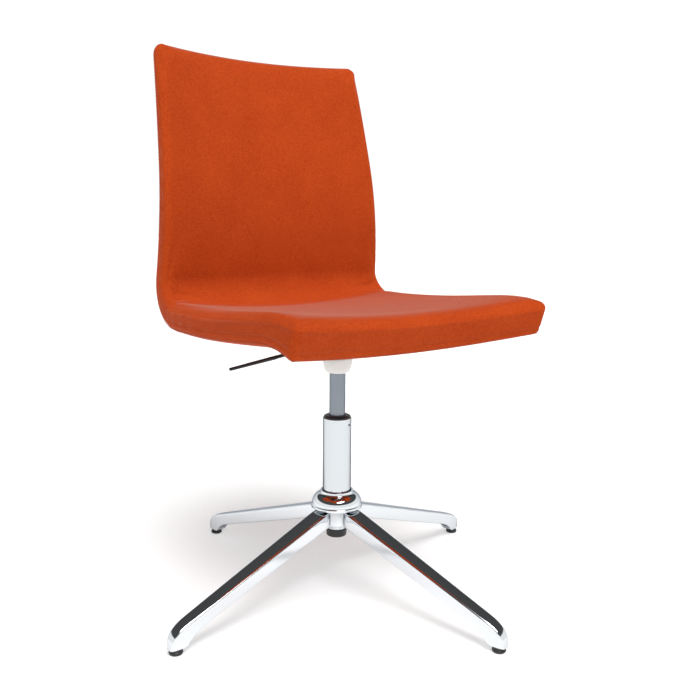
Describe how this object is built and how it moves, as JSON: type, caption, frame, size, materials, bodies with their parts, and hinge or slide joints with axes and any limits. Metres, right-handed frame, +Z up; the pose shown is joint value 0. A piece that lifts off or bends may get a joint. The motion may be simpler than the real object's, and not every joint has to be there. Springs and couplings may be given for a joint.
{
  "type": "visitor chair",
  "caption": "Upholstered one-piece seat and back shell on a swivelling gas column with a polished star base, fixed glides and a height lever under the seat.",
  "frame": {"origin": "on the floor under the column axis, at the middle of the four glides", "axes": "+Z up along the column; the seat faces -Y at rest; the height lever is on the -X side, at the sitter's right hand"},
  "size_m": [0.7146, 0.7146, 0.9488],
  "materials": {
    "polished_aluminium": "die-cast and mirror polished",
    "chromed_steel": "bright chrome plate",
    "grey_enamelled_steel": "satin grey",
    "plain_steel": "zinc plated",
    "black_enamelled_steel": "semi-matt black",
    "black_nylon": "moulded, fine grain",
    "black_rubber": "matt",
    "white_polypropylene": "moulded, satin",
    "orange_wool": "fine felted wool weave",
    "seat_foam": "cut foam",
    "birch_plywood": "sanded"
  },
  "bodies": {
    "base": {"hub": "polished_aluminium", "arm_1": "polished_aluminium", "arm_2": "polished_aluminium", "arm_3": "polished_aluminium", "arm_4": "polished_aluminium", "glide_stem_1": "plain_steel", "glide_stem_2": "plain_steel", "glide_stem_3": "plain_steel", "glide_stem_4": "plain_steel", "glide_foot_1": "black_nylon", "glide_foot_2": "black_nylon", "glide_foot_3": "black_nylon", "glide_foot_4": "black_nylon", "column_tube": "chromed_steel", "guide_bush": "black_nylon", "end_cap": "black_nylon", "lower_washer": "plain_steel"},
    "spindle": {"piston_rod": "plain_steel", "piston": "black_nylon", "upper_washer": "plain_steel", "bearing_cage": "plain_steel", "buffer": "black_rubber", "retaining_clip": "plain_steel"},
    "seat": {"gas_cylinder": "grey_enamelled_steel", "rod_gland": "black_nylon", "taper_socket": "plain_steel", "socket_cover": "white_polypropylene", "mechanism_box": "black_enamelled_steel", "seat_plate": "black_enamelled_steel", "pivot_ear_front": "black_enamelled_steel", "pivot_ear_rear": "black_enamelled_steel", "pivot_pin": "plain_steel", "bolt_1": "plain_steel", "bolt_2": "plain_steel", "bolt_3": "plain_steel", "bolt_4": "plain_steel", "bolt_washer_1": "plain_steel", "bolt_washer_2": "plain_steel", "bolt_washer_3": "plain_steel", "bolt_washer_4": "plain_steel", "tee_nut_1": "plain_steel", "tee_nut_2": "plain_steel", "tee_nut_3": "plain_steel", "tee_nut_4": "plain_steel", "plywood_shell": "birch_plywood", "front_foam": "seat_foam", "rear_foam": "seat_foam", "front_cover": "orange_wool", "rear_cover": "orange_wool"},
    "lever": {"lever_rod": "black_enamelled_steel", "lever_grip": "black_nylon"},
    "valve": {"valve_button": "plain_steel"}
  },
  "joints": [
    {"name": "seat_swivel", "type": "hinge", "parent": "base", "child": "spindle", "pos_m": [0, 0, 0.1173], "axis": [0, 0, 1], "continuous": true},
    {"name": "seat_lift", "type": "slide", "parent": "spindle", "child": "seat", "axis": [0, 0, 1], "range_m": [-0.07, 0.04]},
    {"name": "lever_pull", "type": "hinge", "parent": "seat", "child": "lever", "pos_m": [-0.034, 0, 0.43697], "axis": [0, 1, 0], "range_deg": [0, 5], "stiffness_Nm_per_rad": 3, "springref_deg": -1.72},
    {"name": "valve_press", "type": "slide", "parent": "seat", "child": "valve", "axis": [0, 0, -1], "range_m": [0, 0.0034]}
  ],
  "couplings": [
    {"joint": "valve_press", "follows": "lever_pull", "m_per_rad": 0.038}
  ]
}
